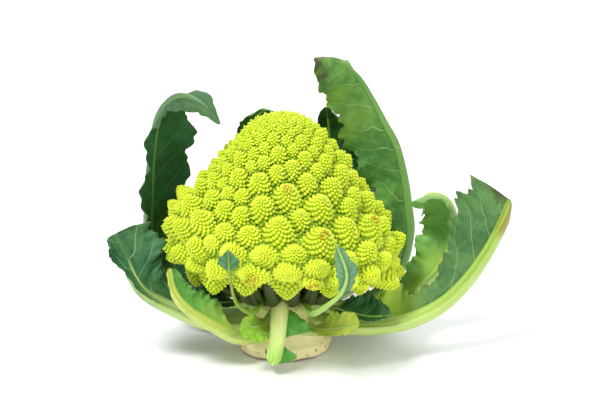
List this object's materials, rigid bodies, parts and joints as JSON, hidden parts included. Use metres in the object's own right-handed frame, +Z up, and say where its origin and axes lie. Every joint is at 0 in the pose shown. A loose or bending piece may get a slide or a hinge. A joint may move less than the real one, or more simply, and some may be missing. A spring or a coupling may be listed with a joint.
{
  "type": "romanesco head",
  "caption": "Cut romanesco head: a cone-shaped curd of spiralling pointed florets on a short stalk, wrapped by ribbed outer leaves.",
  "frame": {"origin": "centre of the stalk's cut face, which the head stands on", "axes": "+Z up through the stalk to the crown of the curd, +X along the widest spread of the leaves, -Y towards the front"},
  "size_m": [0.2542, 0.1956, 0.1874],
  "materials": {
    "curd": "fresh yellow-green florets, slightly waxy",
    "stem": "pale green to cream stalk with a dry cut face",
    "rib": "pale green fleshy leaf stalk and midrib",
    "blade": "blue-green waxy leaf"
  },
  "bodies": {
    "root": {"back_blade": "blade", "back_left_blade": "blade", "back_left_rib": "rib", "back_rib": "rib", "back_right_blade": "blade", "back_right_rib": "rib", "bract_left_blade": "blade", "bract_left_rib": "rib", "bract_right_blade": "blade", "bract_right_rib": "rib", "curd": "curd", "front_blade": "blade", "front_left_blade": "blade", "front_left_rib": "rib", "front_rib": "rib", "front_right_blade": "blade", "front_right_rib": "rib", "inner_left_blade": "blade", "inner_left_rib": "rib", "inner_right_blade": "blade", "inner_right_rib": "rib", "left_blade": "blade", "left_rib": "rib", "low_back_left_blade": "blade", "low_back_left_rib": "rib", "low_back_right_blade": "blade", "low_back_right_rib": "rib", "right_blade": "blade", "right_curled_blade": "blade", "right_curled_rib": "rib", "right_rib": "rib", "small_front_blade": "blade", "small_front_rib": "rib", "stem": "stem", "tall_left_blade": "blade", "tall_left_rib": "rib", "tall_right_blade": "blade", "tall_right_rib": "rib"}
  },
  "joints": []
}
